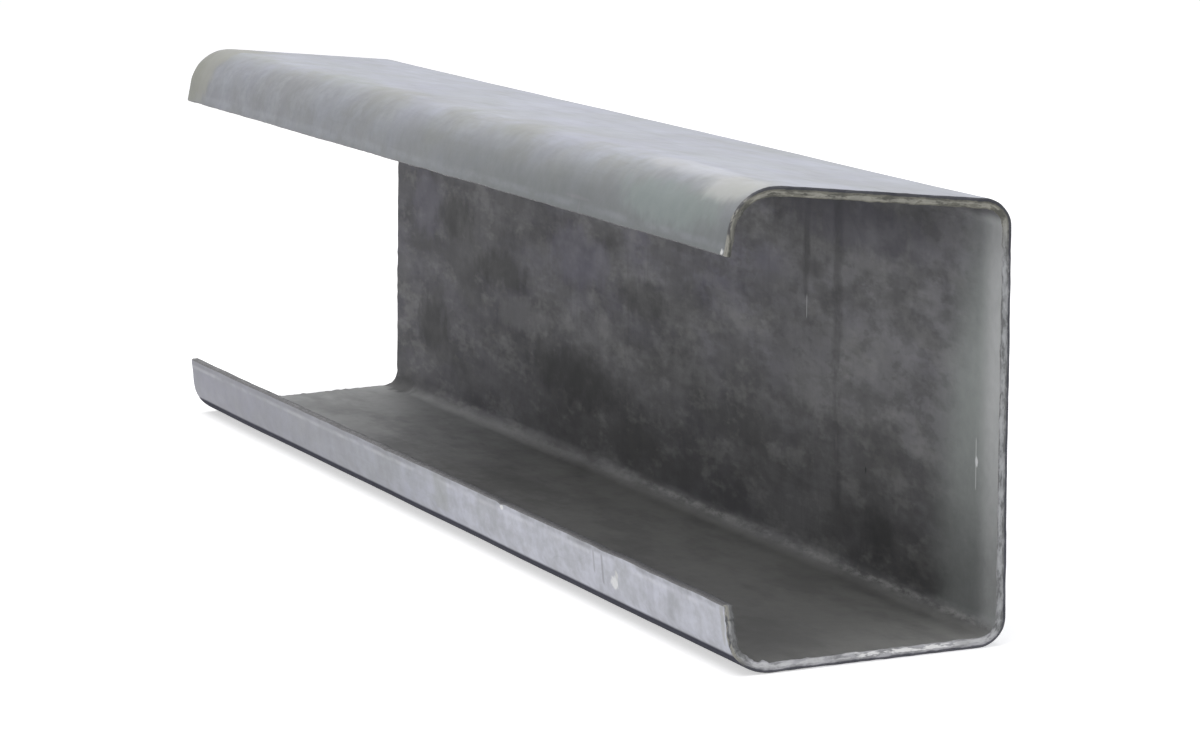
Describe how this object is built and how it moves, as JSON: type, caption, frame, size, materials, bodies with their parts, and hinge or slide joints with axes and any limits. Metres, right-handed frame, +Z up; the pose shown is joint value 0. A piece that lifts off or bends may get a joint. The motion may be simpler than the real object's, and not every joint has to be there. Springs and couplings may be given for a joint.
{
  "type": "c purlin",
  "caption": "Cut length of lipped C-section purlin, cold-formed from steel sheet: a tall web, two flanges and two inturned lips.",
  "frame": {"origin": "centre of the bottom flange's underside, halfway along the length and halfway between the flange's sharp outer corners", "axes": "+X along the length, +Y towards the web (the open side with the lips faces -Y), +Z up, normal to the bottom flange"},
  "size_m": [0.5, 0.0723, 0.1079],
  "materials": {
    "steel_sheet": "dull, cloudy mill finish with sheared ends"
  },
  "bodies": {
    "root": {"c_purlin": "steel_sheet"}
  },
  "joints": []
}
